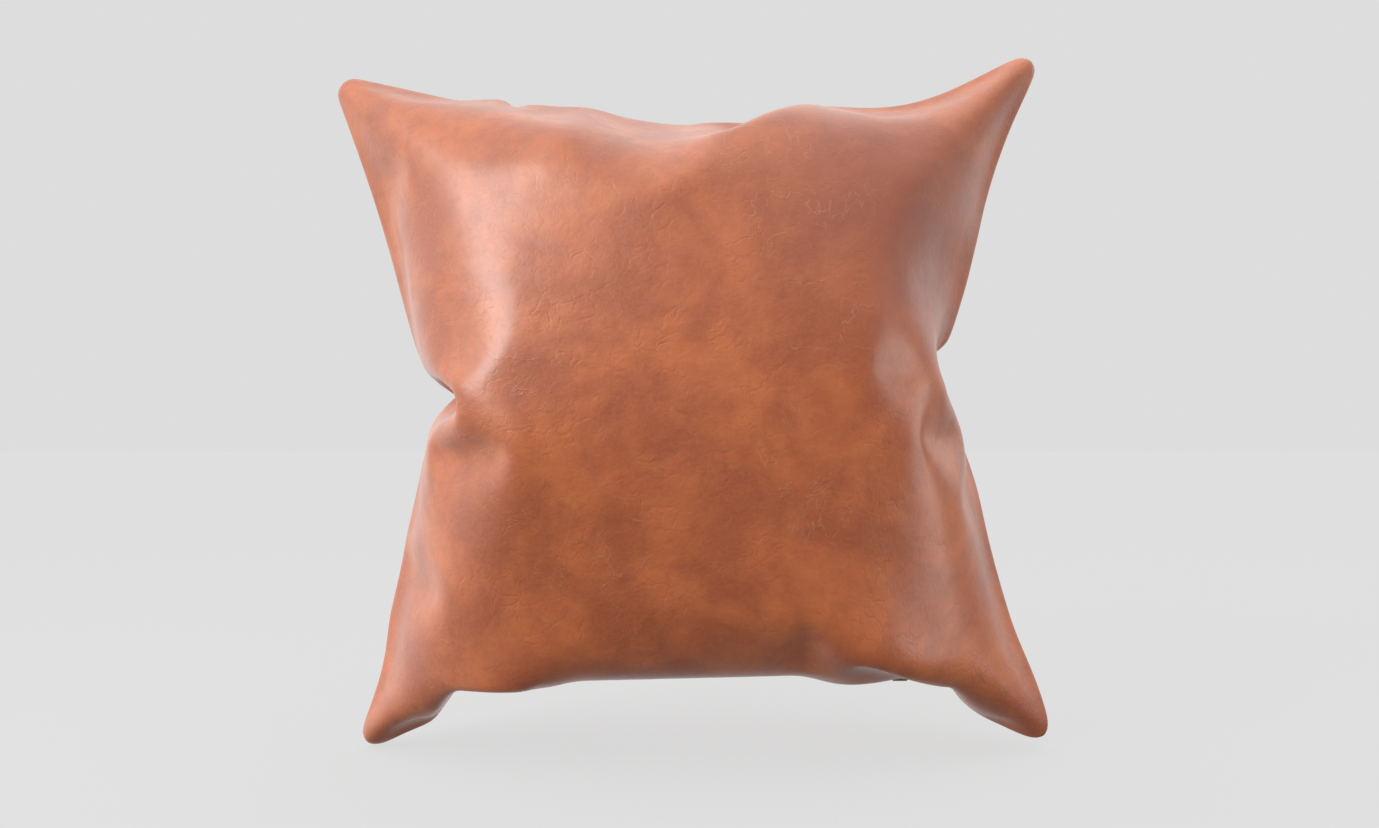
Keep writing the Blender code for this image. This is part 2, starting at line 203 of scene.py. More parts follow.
TOP_LEFT, TOP_RIGHT = ear_tip(-1, 1), ear_tip(1, 1)
BOTTOM_LEFT, BOTTOM_RIGHT = ear_tip(-1, -1), ear_tip(1, -1)
tape_low, tape_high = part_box("zip_tape_front")
ZIP_LEFT, ZIP_RIGHT = tape_low.x - ZIP_ROOM, tape_high.x + ZIP_ROOM
ZIP_START = (CUT - (ZIP_RIGHT - ZIP_LEFT)) / 2 / CUT
SEAT = [m["pos_m"][2] for m in frame["record"]["mounts"] if m["name"] == "seat_rest"][0]
print("corners:", TOP_LEFT, TOP_RIGHT, BOTTOM_LEFT, BOTTOM_RIGHT)
print("zip from", ZIP_LEFT, "to", ZIP_RIGHT, "at the seat's height", SEAT)

# %% [markdown]
# Each pinch is a place on an edge, given as a share of the edge's length, and the distance that
# the filling pulls it in by. A side pinch also slides a little up the edge.

# %% The three pinches: share of the edge, how far it folds in, how far it slides up
LEFT_PINCH = (0.52, 0.079, 0.003)
RIGHT_PINCH = (0.51, 0.0745, 0.010)
TOP_PINCH = (0.465, 0.0365)


def between(a, b, t):
    return a[0] + (b[0] - a[0]) * t, a[1] + (b[1] - a[1]) * t


def side_pinch(low, high, pinch, inward):
    x, z = between(low, high, pinch[0])
    return x + inward * pinch[1], z + pinch[2]


def top_notch():
    x, z = between(TOP_LEFT, TOP_RIGHT, TOP_PINCH[0])
    return x, z - TOP_PINCH[1]


LEFT_FOLD = side_pinch(BOTTOM_LEFT, TOP_LEFT, LEFT_PINCH, 1)
RIGHT_FOLD = side_pinch(BOTTOM_RIGHT, TOP_RIGHT, RIGHT_PINCH, -1)
TOP_FOLD = top_notch()
print("pinches:", LEFT_FOLD, RIGHT_FOLD, TOP_FOLD)


# %% [markdown]
# With the corners and the pinches known, each edge of the seam is a line with one bend, or two
# for the bottom edge with its zip. A point in the middle of the cut is then found by blending
# the four edges, which is called a Coons patch. It is a first guess of where the leather goes.

# %% The seam as a path
def along(points, shares, t):
    """Place at t on a line through points that stand at these shares of its length."""
    for k in range(len(points) - 1):
        if t <= shares[k + 1]:
            return between(points[k], points[k + 1], (t - shares[k]) / (shares[k + 1] - shares[k]))
    return points[-1]


def left_seam(t):
    return along((BOTTOM_LEFT, LEFT_FOLD, TOP_LEFT), (0, LEFT_PINCH[0], 1), t)


def right_seam(t):
    return along((BOTTOM_RIGHT, RIGHT_FOLD, TOP_RIGHT), (0, RIGHT_PINCH[0], 1), t)


def top_seam(t):
    return along((TOP_LEFT, TOP_FOLD, TOP_RIGHT), (0, TOP_PINCH[0], 1), t)


def bottom_seam(t):
    path = (BOTTOM_LEFT, (ZIP_LEFT, SEAT), (ZIP_RIGHT, SEAT), BOTTOM_RIGHT)
    return along(path, (0, ZIP_START, 1 - ZIP_START, 1), t)


def sewn_place(s, t):
    """Place (x, z) in the seam's plane of the cut's shares s across and t up."""
    low, high, left, right = bottom_seam(s), top_seam(s), left_seam(t), right_seam(t)
    place = []
    for k in (0, 1):
        edges = (1 - t) * low[k] + t * high[k] + (1 - s) * left[k] + s * right[k]
        lower = (1 - s) * BOTTOM_LEFT[k] + s * BOTTOM_RIGHT[k]
        upper = (1 - s) * TOP_LEFT[k] + s * TOP_RIGHT[k]
        place.append(edges - (1 - t) * lower - t * upper)
    return place


print("middle of the seam's plane:", sewn_place(0.5, 0.5))

# %% [markdown]
# ## Sewing and filling the cover
# Leather creases where it must and stays smooth where it can, which is hard to model by hand.
# So the two flat squares, joined along their edges, are blown up by cloth simulation. The
# corners, the pinches and the zip are carried to their places during the first half of the
# run, and the pressure of the filling swells the rest.
#
# Both squares share one grid of points. Each point has two places: one on the flat cut, with
# the squares two millimetres apart and slightly domed, and one on the guide shape, where the
# seam is already in place. The edge points belong to both squares, which sews them together.

# %% Grid of the two squares
CELLS = 72
GUIDE_BULGE = 0.09
FLAT_BULGE = 0.011
FLAT_GAP = 0.001
FRONT, BACK = -1, 1

flat_places = []
guide_places = []
grid_index = {FRONT: {}, BACK: {}}


def rounded(x, z):
    """Moves the outermost points of the cut in, so that its corners are round."""
    core = HALF_CUT - CORNER_CUT
    dx, dz = abs(x) - core, abs(z) - core
    if dx <= 0 or dz <= 0:
        return x, z
    share = max(dx, dz) / math.hypot(dx, dz)
    return math.copysign(core + dx * share, x), math.copysign(core + dz * share, z)


def crown(x, z):
    """1 at the middle of the cut, 0 along its edge."""
    u, v = x / HALF_CUT, z / HALF_CUT
    return math.sqrt(max((1 - u * u) * (1 - v * v), 0.0))


middle_x = (TOP_LEFT[0] + TOP_RIGHT[0] + BOTTOM_LEFT[0] + BOTTOM_RIGHT[0]) / 4
middle_z = (TOP_LEFT[1] + TOP_RIGHT[1] + BOTTOM_LEFT[1] + BOTTOM_RIGHT[1]) / 4
for i in range(CELLS + 1):
    for j in range(CELLS + 1):
        even_x = (2 * i / CELLS - 1) * HALF_CUT
        even_z = (2 * j / CELLS - 1) * HALF_CUT
        x, z = rounded(even_x, even_z)
        guide_x, guide_z = sewn_place(x / CUT + 0.5, z / CUT + 0.5)
        for side in (FRONT, BACK):
            on_edge = i in (0, CELLS) or j in (0, CELLS)
            if on_edge and side == BACK:
                grid_index[BACK][i, j] = grid_index[FRONT][i, j]
                continue
            grid_index[side][i, j] = len(flat_places)
            lift = 0.0 if on_edge else side * (FLAT_GAP + FLAT_BULGE * crown(x, z))
            flat_places.append((x + middle_x, lift, z + middle_z))
            guide_places.append((guide_x, side * GUIDE_BULGE * crown(even_x, even_z), guide_z))
print("cloth points:", len(flat_places))


# %% Cloth object with its guide
def panel_faces(side):
    faces = []
    for i in range(CELLS):
        for j in range(CELLS):
            ring = [(i, j), (i + 1, j), (i + 1, j + 1), (i, j + 1)]
            if side == BACK:
                ring.reverse()
            faces.append([grid_index[side][place] for place in ring])
    return faces


FILL_FRAMES = 50
cloth_mesh = bpy.data.meshes.new("sewn_squares")
cloth_mesh.from_pydata(flat_places, [], panel_faces(FRONT) + panel_faces(BACK))
cloth = bpy.data.objects.new("sewn_squares", cloth_mesh)
bpy.context.collection.objects.link(cloth)
cloth.shape_key_add(name="flat")
guide = cloth.shape_key_add(name="guide")
guide.data.foreach_set("co", np.array(guide_places, np.float32).ravel())
guide.value = 0.0
guide.keyframe_insert("value", frame=1)
guide.value = 1.0
guide.keyframe_insert("value", frame=FILL_FRAMES // 2)
cloth.active_shape_key_index = 0
print("guide reaches its place at frame", FILL_FRAMES // 2)

# %% [markdown]
# A vertex group tells the cloth which points to hold. Held points follow the guide shape as its
# value rises, so they carry the corners, the three pinches and the zip to their places.

# %% What is held while the cover fills
held = [grid_index[FRONT][i, j] for i in (0, CELLS) for j in (0, CELLS)]
held.append(grid_index[FRONT][0, round(LEFT_PINCH[0] * CELLS)])
held.append(grid_index[FRONT][CELLS, round(RIGHT_PINCH[0] * CELLS)])
held.append(grid_index[FRONT][round(TOP_PINCH[0] * CELLS), CELLS])
for i in range(CELLS + 1):
    if ZIP_START <= i / CELLS <= 1 - ZIP_START:
        held.append(grid_index[FRONT][i, 0])
hold = cloth.vertex_groups.new(name="held")
hold.add(held, 1.0, "ADD")
print("held points:", len(held))

# %% [markdown]
# The leather is stiff against stretching and bends slowly, and the pressure stands for the
# filling. Gravity is off, because the filling carries the weight. The frames are stepped one by
# one, since cloth is worked out from the frame before, and the last one is kept as a plain mesh.

# %% Fill it
cloth_modifier = cloth.modifiers.new("Cloth", "CLOTH")
leather_cloth = cloth_modifier.settings
leather_cloth.quality = 8
leather_cloth.mass = 0.02
leather_cloth.tension_stiffness = 60
leather_cloth.compression_stiffness = 20
leather_cloth.shear_stiffness = 18
leather_cloth.bending_stiffness = 25
leather_cloth.tension_damping = 5
leather_cloth.compression_damping = 5
leather_cloth.shear_damping = 5
leather_cloth.bending_damping = 0.5
leather_cloth.air_damping = 1
leather_cloth.use_pressure = True
leather_cloth.uniform_pressure_force = 10
leather_cloth.effector_weights.gravity = 0
leather_cloth.vertex_group_mass = "held"
leather_cloth.pin_stiffness = 1
cloth_modifier.point_cache.frame_start = 1
cloth_modifier.point_cache.frame_end = FILL_FRAMES
for tick in range(1, FILL_FRAMES + 1):
    bpy.context.scene.frame_set(tick)
filled = cloth.evaluated_get(bpy.context.evaluated_depsgraph_get())
filled_mesh = bpy.data.meshes.new_from_object(filled)
filled_places = np.array([v.co for v in filled_mesh.vertices])
bpy.data.objects.remove(cloth)
bpy.data.meshes.remove(filled_mesh)
print("filled cover: from", filled_places.min(0), "to", filled_places.max(0))

# %% [markdown]
# ## Shaping it
# A stuffed pillow is patted into shape. Each pat moves the leather near one place by a few
# millimetres, front and back alike, and fades out at its reach, as proportional editing does.

# %% Pats: place (x, z), reach, move (x, z)
PATS = [
    ((0.215, 0.360), 0.130, (-0.012, 0.0)),
    ((0.185, 0.245), 0.080, (-0.008, 0.0)),
    ((0.205, 0.130), 0.110, (-0.006, 0.0)),
    ((0.240, 0.010), 0.080, (0.006, 0.0)),
    ((-0.210, 0.360), 0.120, (0.005, 0.0)),
    ((-0.195, 0.120), 0.110, (0.004, 0.0)),
    ((-0.205, 0.045), 0.050, (0.005, 0.0)),
    ((0.150, 0.455), 0.085, (0.0, -0.015)),
    ((-0.100, 0.430), 0.065, (0.0, 0.012)),
    ((0.235, 0.465), 0.050, (0.004, 0.003)),
    ((-0.124, 0.436), 0.036, (0.0, 0.006)),
    ((0.045, 0.430), 0.050, (0.0, 0.006)),
    ((-0.045, 0.425), 0.050, (0.0, 0.005)),
    ((-0.098, 0.435), 0.040, (0.0, 0.003)),
    ((-0.240, 0.000), 0.050, (0.0, -0.004)),
    ((0.240, 0.012), 0.050, (0.0, -0.002)),
    ((0.125, 0.070), 0.060, (0.0, -0.014)),
    ((-0.120, 0.070), 0.055, (0.0, -0.010)),
]


def pat(places, centre, reach, move):
    away = np.hypot(places[:, 0] - centre[0], places[:, 2] - centre[1]) / reach
    share = np.clip(1 - away * away, 0.0, 1.0) ** 2
    places[:, 0] += share * move[0]
    places[:, 2] += share * move[1]


for centre, reach, move in PATS:
    pat(filled_places, centre, reach, move)
print("pats:", len(PATS))

# %% [markdown]
# ## Setting it down
# The pillow stands on something between its lower corners, so its underside is flat there,
# and each lower ear hangs beside that, down to its own small flat. A push up to a rising
# line does this. The line is the seat's height under the zip and drops to zero at the ears.

# %% Flatten the underside
EAR_FLAT = 0.030
SEAT_MARGIN = 0.076


def ease(t):
    """0 to 1 with a soft start and a soft end."""
    return t * t * (3 - 2 * t)


def rest_height(x):
    """Lowest height that the cover may have at x."""
    from_tip = np.minimum(x - BOTTOM_LEFT[0], BOTTOM_RIGHT[0] - x)
    rise = np.clip((from_tip - EAR_FLAT) / (SEAT_MARGIN - EAR_FLAT), 0.0, 1.0)
    return SEAT * ease(rise)


filled_places[:, 2] = np.maximum(filled_places[:, 2], rest_height(filled_places[:, 0]))
print("lowest point:", filled_places[:, 2].min())


# %% [markdown]
# A few folds of the cloth are sharper than leather of this weight would make. They are rubbed
# out in place: inside each reach, a point moves part of the way to the middle of its four
# neighbours, many times over, as the smooth brush does.

# %% Rub out sharp folds: place (x, z), reach
def grid_of(side):
    """The filled places of one square, as rows and columns of points."""
    rows = [[grid_index[side][i, j] for j in range(CELLS + 1)] for i in range(CELLS + 1)]
    return filled_places[np.array(rows)]


SMOOTHING_ROUNDS = 40
SMOOTHING_STEP = 0.5
SMOOTHED = [
    ((0.153, 0.310), 0.065),
    ((-0.135, 0.285), 0.032),
    ((-0.120, 0.432), 0.055),
    ((-0.030, 0.408), 0.045),
]


def smooth_out(grid):
    """Smooths the small folds near the listed places."""
    share = np.zeros(grid.shape[:2])
    for centre, reach in SMOOTHED:
        away = np.hypot(grid[:, :, 0] - centre[0], grid[:, :, 2] - centre[1]) / reach
        share = np.maximum(share, np.clip(1 - away * away, 0.0, 1.0))
    grid = grid.copy()
    for _ in range(SMOOTHING_ROUNDS):
        around = (grid[2:, 1:-1] + grid[:-2, 1:-1] + grid[1:-1, 2:] + grid[1:-1, :-2]) / 4
        step = SMOOTHING_STEP * share[1:-1, 1:-1, None]
        grid[1:-1, 1:-1] += step * (around - grid[1:-1, 1:-1])
    return grid


front_grid, back_grid = smooth_out(grid_of(FRONT)), smooth_out(grid_of(BACK))
print("thickness", back_grid[:, :, 1].max() - front_grid[:, :, 1].min())

# %% [markdown]
# ## The leather
# The hide is a warm cognac with an oily, pulled-up finish: cloudy darker patches, a fine
# pebble grain, a few pale veins and short creases, and a wide soft shine. Each of these is a
# noise pattern of its own size. They read the piece's UV map, which is the flat cut in metres,
# so the grain stretches over the pillow as real leather does. Many nodes are needed, and a
# small class that adds and joins them keeps each recipe short enough to read.


# %% A small kit for building patterns
class Pattern:
    """Adds nodes to one material and joins them up."""

    def __init__(self, name):
        self.material = bpy.data.materials.new(name)
        self.material.use_nodes = True
        self.tree = self.material.node_tree
        self.shader = self.tree.nodes["Principled BSDF"]

    def add(self, kind, settings=None, **inputs):
        """A node; each input is a socket to join or a value to set."""
        node = self.tree.nodes.new(kind)
        for key, value in (settings or {}).items():
            setattr(node, key, value)
        for key, value in inputs.items():
            self.put(node.inputs[key.replace("_", " ")], value)
        return node

    def put(self, socket, value):
        if isinstance(value, bpy.types.NodeSocket):
            self.tree.links.new(value, socket)
        else:
            socket.default_value = value

    def noise(self, where, scale, detail=3.0, roughness=0.55, distortion=0.0):
        node = self.add("ShaderNodeTexNoise", Vector=where, Scale=scale, Detail=detail,
                        Roughness=roughness, Distortion=distortion)
        return node.outputs["Fac"]

    def spread(self, value, low, high, to_low=0.0, to_high=1.0):
        """Value from low..high stretched smoothly to to_low..to_high."""
        node = self.add("ShaderNodeMapRange", {"interpolation_type": "SMOOTHSTEP"},
                        Value=value, From_Min=low, From_Max=high, To_Min=to_low, To_Max=to_high)
        return node.outputs["Result"]

    def maths(self, operation, a, b=0.0):
        node = self.add("ShaderNodeMath", {"operation": operation})
        self.put(node.inputs[0], a)
        self.put(node.inputs[1], b)
        return node.outputs[0]

    def blend(self, share, a, b):
        """Colour a where share is 0, b where it is 1."""
        node = self.add("ShaderNodeMix", {"data_type": "RGBA"})
        self.put(node.inputs["Factor"], share)
        self.put(node.inputs[6], a)
        self.put(node.inputs[7], b)
        return node.outputs[2]

    def bump(self, height, distance, strength, normal=None):
        node = self.add("ShaderNodeBump", Height=height, Distance=distance, Strength=strength)
        if normal is not None:
            self.put(node.inputs["Normal"], normal)
        return node.outputs["Normal"]


print("pattern kit ready")


# %% [markdown]
# Noise scales here are in patterns to the metre, because the map is in metres: 20 makes clouds
# about 50 mm wide, 420 a speckle of 2 mm. Each blend lays one tone over the last.

# %% Tones of the hide
LEATHER_DARK = (0.560, 0.106, 0.017, 1)
LEATHER_LIGHT = (0.850, 0.202, 0.040, 1)
LEATHER_PALE = (0.720, 0.270, 0.125, 1)
# The darkest tone is painted shade. It is laid on one area high on the front's right, where the
# pillow turns away from the light.
LEATHER_PAINTED_SHADE = (0.390, 0.062, 0.009, 1)
PAINTED_SHADE_PLACE = (0.392, 0.372, 0.0)
PAINTED_SHADE_CORE = 0.06
PAINTED_SHADE_REACH = 0.18
PAINTED_SHADE_RAGGED = 0.08


def hide_tone(p, cut):
    """Cloudy brown with a pale speckle, and one darker area of painted shade high on the front's
    right.
    """
    clouds = p.noise(cut, 20.0, detail=5.0, roughness=0.62, distortion=0.3)
    patches = p.noise(cut, 62.0, detail=4.0, roughness=0.6, distortion=0.4)
    speckle = p.noise(cut, 420.0, detail=2.0, roughness=0.6)
    colour = p.blend(p.spread(clouds, 0.33, 0.68), LEATHER_DARK, LEATHER_LIGHT)
    colour = p.blend(p.spread(patches, 0.40, 0.75, 0.0, 0.40), colour, LEATHER_DARK)
    colour = p.blend(p.spread(speckle, 0.35, 0.75, 0.0, 0.18), colour, LEATHER_PALE)
    # Painted shade: a darker area high on the front panel's right, with ragged edges.
    away = p.add("ShaderNodeVectorMath", {"operation": "DISTANCE"})
    p.put(away.inputs[0], cut)
    away.inputs[1].default_value = PAINTED_SHADE_PLACE
    ragged = p.maths("ADD", away.outputs["Value"], p.maths("MULTIPLY", patches, PAINTED_SHADE_RAGGED))
    return p.blend(p.spread(ragged, PAINTED_SHADE_CORE, PAINTED_SHADE_REACH, 0.72, 0.0), colour, LEATHER_PAINTED_SHADE)


print("tones of the hide:", LEATHER_DARK, LEATHER_LIGHT, LEATHER_PALE, LEATHER_PAINTED_SHADE)


# %% [markdown]
# A line can be drawn with noise alone. Where a noise crosses its middle value it makes one long
# wandering line, good for a pale vein. The borders between Voronoi cells make a net, good for
# fine wrinkles, once the cells are bent out of shape. A second, larger noise then keeps each of
# them to some areas, because a hide isn't wrinkled all over.

# %% Veins and wrinkles
VEIN_WIDTH = 0.009
WRINKLE_WIDTH = 0.09
WRINKLE_BEND = (0.022, 0.022, 0.0)


def pale_veins(p, cut):
    """1 on thin wandering lines, 0 beside them."""
    wander = p.noise(cut, 22.0, detail=4.0, roughness=0.6, distortion=0.8)
    off_line = p.maths("ABSOLUTE", p.maths("SUBTRACT", wander, 0.5))
    line = p.spread(off_line, 0.0, VEIN_WIDTH, 1.0, 0.0)
    where = p.spread(p.noise(cut, 11.0, detail=3.0), 0.47, 0.60)
    return p.maths("MULTIPLY", line, where)


def fine_wrinkles(p, cut):
    """1 on a net of fine lines where the hide is loose, 0 elsewhere."""
    bend = p.add("ShaderNodeVectorMath", {"operation": "MULTIPLY_ADD"})
    p.put(bend.inputs[0], p.add("ShaderNodeTexNoise", Vector=cut, Scale=70.0).outputs["Color"])
    bend.inputs[1].default_value = WRINKLE_BEND
    p.put(bend.inputs[2], cut)
    net = p.add("ShaderNodeTexVoronoi", {"feature": "DISTANCE_TO_EDGE"},
                Vector=bend.outputs["Vector"], Scale=78.0)
    line = p.spread(net.outputs["Distance"], 0.0, WRINKLE_WIDTH, 1.0, 0.0)
    loose = p.spread(p.noise(cut, 40.0, detail=3.0, roughness=0.6), 0.46, 0.62)
    return p.maths("MULTIPLY", line, loose)


print("vein width", VEIN_WIDTH, "of the noise's value")


# %% [markdown]
# The relief is a chain of bumps from the finest to the coarsest: pebble grain, creases, shallow
# dimples, then the veins and the wrinkles. Real relief would need millions of faces for grain
# this fine. The shine has two layers: the hide's own broad one, and a tighter coat of wax.

# %% Cognac leather
def hide_relief(p, cut, vein, wrinkle):
    cells = p.add("ShaderNodeTexVoronoi", {"feature": "SMOOTH_F1"}, Vector=cut, Scale=620.0)
    normal = p.bump(cells.outputs["Distance"], 0.00025, 0.30)
    creases = p.noise(cut, 110.0, detail=6.0, roughness=0.68, distortion=1.2)
    normal = p.bump(creases, 0.0010, 0.42, normal)
    dimples = p.noise(cut, 34.0, detail=3.0, roughness=0.5, distortion=0.6)
    normal = p.bump(dimples, 0.0030, 0.35, normal)
    normal = p.bump(vein, 0.0005, 0.40, normal)
    return p.bump(p.maths("SUBTRACT", 1.0, wrinkle), 0.0006, 0.26, normal)


def cognac_leather():
    p = Pattern("cognac_leather")
    cut = p.add("ShaderNodeUVMap", {"uv_map": "flat_cut"}).outputs["UV"]
    vein, wrinkle = pale_veins(p, cut), fine_wrinkles(p, cut)
    colour = p.blend(p.maths("MULTIPLY", vein, 0.42), hide_tone(p, cut), LEATHER_PALE)
    # The wrinkles have real relief in the bump, and their lines are also darkened a little in
    # colour: painted shade in their creases.
    colour = p.blend(p.maths("MULTIPLY", wrinkle, 0.16), colour, LEATHER_DARK)
    p.put(p.shader.inputs["Base Color"], colour)
    worn = p.noise(cut, 30.0, detail=4.0, roughness=0.65)
    p.put(p.shader.inputs["Roughness"], p.spread(worn, 0.3, 0.7, 0.44, 0.55))
    p.shader.inputs["Specular IOR Level"].default_value = 1.0
    p.shader.inputs["Coat Weight"].default_value = 0.70
    p.shader.inputs["Coat Roughness"].default_value = 0.27
    p.shader.inputs["Coat IOR"].default_value = 1.7
    p.put(p.shader.inputs["Normal"], hide_relief(p, cut, vein, wrinkle))
    return p.material


leather = cognac_leather()
print(leather.name, "has", len(leather.node_tree.nodes), "nodes")

# %% [markdown]
# ## Two panels with turned edges
# A real seam is hidden: each panel's edge turns inwards and lies flat against the other's,
# about 10 mm deep. Along the zip the two folds stand apart and are turned back on the inside,
# so the teeth show between them. The panel is modelled as one sheet that has these turns, then
# gets one subdivision and the leather's thickness towards the inside.

# %% Opening for the zip
LEATHER = 0.0012
SEAM_GAP = 0.00035
TURN_IN = 0.0012
ALLOWANCE = 0.009
LEAST_RISE = 0.002
SLOT_HALF = 0.005
SLOT_FADE = 0.009
SLOT_REACH = 0.016
PRESSED_REACH = 0.016
PRESSED_PAST_END = 1.5
NEAR_SEAT = 0.030


def slot_share(x):
    """1 along the zip, 0 beyond its ends, smooth between."""
    inside = np.minimum(x - ZIP_LEFT, ZIP_RIGHT - x)
    return ease(np.clip(inside / SLOT_FADE + 0.5, 0.0, 1.0))


def open_slot(grid, side):
    """Moves the leather beside the zip away from the seam's plane, and presses it flat.

    It is pressed fully up to one reach from the plane and not at all from two, and this fades
    out past the zip's ends.
    """
    grid = grid.copy()
    near_seat = np.clip(1 - (grid[:, :, 2] - SEAT) / NEAR_SEAT, 0.0, 1.0)
    aside = np.abs(grid[:, :, 1])
    from_end = np.minimum(grid[:, :, 0] - ZIP_LEFT, ZIP_RIGHT - grid[:, :, 0])
    pressed = near_seat * np.clip(from_end / SLOT_FADE + PRESSED_PAST_END, 0.0, 1.0)
    pressed *= np.clip(2.0 - aside / PRESSED_REACH, 0.0, 1.0)
    moved = SLOT_HALF * np.exp(-aside / SLOT_REACH) * slot_share(grid[:, :, 0]) * near_seat
    grid[:, :, 2] += (SEAT - grid[:, :, 2]) * pressed
    grid[:, :, 1] = side * np.maximum(aside + moved, SEAM_GAP)
    return grid


front_open, back_open = open_slot(front_grid, FRONT), open_slot(back_grid, BACK)
print("slot edges at y", front_open[CELLS // 2, 0, 1], back_open[CELLS // 2, 0, 1])


# %% [markdown]
# The turned edge is two more rows of points, all the way round: one just behind the fold, and
# one at the end of the allowance. Away from the zip they lie in the seam's plane and point into
# the pillow. Along the zip they lie flat on the inside instead. Faces join each row to the next.

# %% Panel with its turned edge
STEPS_INWARD = 3


def edge_ring():
    ring = [(i, 0) for i in range(CELLS)]
    ring += [(CELLS, j) for j in range(CELLS)]
    ring += [(i, CELLS) for i in range(CELLS, 0, -1)]
    ring += [(0, j) for j in range(CELLS, 0, -1)]
    return ring


def turned_edge(grid, side, depth):
    """Row of points a depth into the turned edge, one for each point of the panel's edge."""
    row = []
    for i, j in edge_ring():
        edge = grid[i, j]
        near_i = min(max(i, STEPS_INWARD), CELLS - STEPS_INWARD)
        near_j = min(max(j, STEPS_INWARD), CELLS - STEPS_INWARD)
        deeper = grid[near_i, near_j]
        inward = Vector((deeper[0] - edge[0], 0.0, deeper[2] - edge[2]))
        if j == 0:
            inward.z = max(inward.z, abs(inward.x), LEAST_RISE)
        seam = Vector((edge[0], side * SEAM_GAP, edge[2])) + inward.normalized() * depth
        share = float(slot_share(edge[0])) if j == 0 else 0.0
        fold = Vector((edge[0], side * (SLOT_HALF + depth - TURN_IN), SEAT + 2 * LEATHER))
        row.append(seam.lerp(fold, share))
    return row


def panel(name, grid, side):
    """Leather panel as a sheet: the outside, then two rows of its turned edge."""
    count = CELLS + 1
    points = [tuple(p) for p in grid.reshape(-1, 3)]
    faces = []
    for i in range(CELLS):
        for j in range(CELLS):
            first = i * count + j
            faces.append([first, first + count, first + count + 1, first + 1])
    rows = [[i * count + j for i, j in edge_ring()]]
    for depth in (TURN_IN, ALLOWANCE):
        rows.append(list(range(len(points), len(points) + 4 * CELLS)))
        points += [tuple(p) for p in turned_edge(grid, side, depth)]
    for outer, inner in zip(rows, rows[1:]):
        for k in range(4 * CELLS):
            after = (k + 1) % (4 * CELLS)
            faces.append([outer[after], outer[k], inner[k], inner[after]])
    if side == BACK:
        faces = [face[::-1] for face in faces]
    mesh = bpy.data.meshes.new(name)
    mesh.from_pydata(points, [], faces)
    piece = bpy.data.objects.new(name, mesh)
    bpy.context.collection.objects.link(piece)
    lay_out_cut(mesh, side)
    return piece


# %% [markdown]
# A UV map says where on a flat sheet each point of a piece lies. Here it is the real flat cut,
# so nothing has to be unwrapped. The back panel's map is moved aside, or both panels would be
# cut from the same spot of the hide and show the same marks.

# %% The flat cut as a UV map, in metres
def flat_place(index):
    """Place on the flat square of a point of the panel's mesh."""
    count = CELLS + 1
    if index < count * count:
        return (index // count) * CUT / CELLS, (index % count) * CUT / CELLS
    ring = edge_ring()
    row, place = divmod(index - count * count, len(ring))
    depth = (TURN_IN, ALLOWANCE)[row]
    i, j = ring[place]
    x, z = i * CUT / CELLS, j * CUT / CELLS
    return (x - depth if i == 0 else x + depth if i == CELLS else x,
            z - depth if j == 0 else z + depth if j == CELLS else z)


def lay_out_cut(mesh, side):
    layer = mesh.uv_layers.new(name="flat_cut")
    shift = 0.0 if side == FRONT else 2 * CUT
    for loop in mesh.loops:
        x, z = flat_place(loop.vertex_index)
        layer.data[loop.index].uv = (x + shift, z)


# %% [markdown]
# Subdivision rounds the sheet off, and then solidify gives it the leather's thickness towards
# the inside, so the outside stays where the cloth put it. Both are applied to the mesh.

# %% Thickness, smoothness and finish
def finish_panel(piece, cad_node):
    bpy.ops.object.select_all(action="DESELECT")
    piece.select_set(True)
    bpy.context.view_layer.objects.active = piece
    smooth = piece.modifiers.new("smooth", "SUBSURF")
    smooth.levels = 1
    smooth.render_levels = 1
    skin = piece.modifiers.new("thickness", "SOLIDIFY")
    skin.thickness = LEATHER
    skin.offset = -1.0
    for modifier in ("smooth", "thickness"):
        bpy.ops.object.modifier_apply(modifier=modifier)
    bpy.ops.object.shade_smooth()
    piece.data.materials.append(leather)
    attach(piece, "pillow")
    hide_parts(cad_node)
    print(piece.name, len(piece.data.polygons), "faces")


front_panel = panel("front_panel", front_open, FRONT)
back_panel = panel("back_panel", back_open, BACK)
finish_panel(front_panel, "cover_front")
finish_panel(back_panel, "cover_back")

# %% [markdown]
# ## The insert
# Inside is a plain cotton cushion a little smaller than the cover: two panels of thin cloth
# with the filling between them. Nothing of it shows in a closed cover. It follows the filled
# shape, drawn in towards the pillow's middle, and it stays above the zip.


# %% A smaller shape inside the cover
INSERT_CELLS = 48
INSERT_LIFT = 0.016
INSERT_SQUARENESS = 6
COTTON = 0.0008


def sample(grid, across, up):
    """Place on a grid between its points, at shares across and up."""
    a, b = across * CELLS, up * CELLS
    i, j = min(int(a), CELLS - 1), min(int(b), CELLS - 1)
    s, t = a - i, b - j
    low = grid[i, j] * (1 - s) + grid[i + 1, j] * s
    high = grid[i, j + 1] * (1 - s) + grid[i + 1, j + 1] * s
    return low * (1 - t) + high * t


def insert_place(i, j, side, edge_inset, face_inset):
    """Point of a layer that lies inside the cover by these two insets."""
    u, v = 2 * i / INSERT_CELLS - 1, 2 * j / INSERT_CELLS - 1
    scale = (1 - edge_inset / HALF_CUT) / 2
    front = sample(front_grid, 0.5 + u * scale, 0.5 + v * scale)
    back = sample(back_grid, 0.5 + u * scale, 0.5 + v * scale)
    half = (back - front) / 2
    rounding = math.sqrt(max((1 - u ** INSERT_SQUARENESS) * (1 - v ** INSERT_SQUARENESS), 0.0))
    depth = np.linalg.norm(half)
    share = rounding * max(1 - face_inset / max(depth, face_inset), 0.0)
    place = (front + back) / 2 + side * half * share
    place[2] = max(place[2], float(rest_height(place[0])) + INSERT_LIFT)
    return place


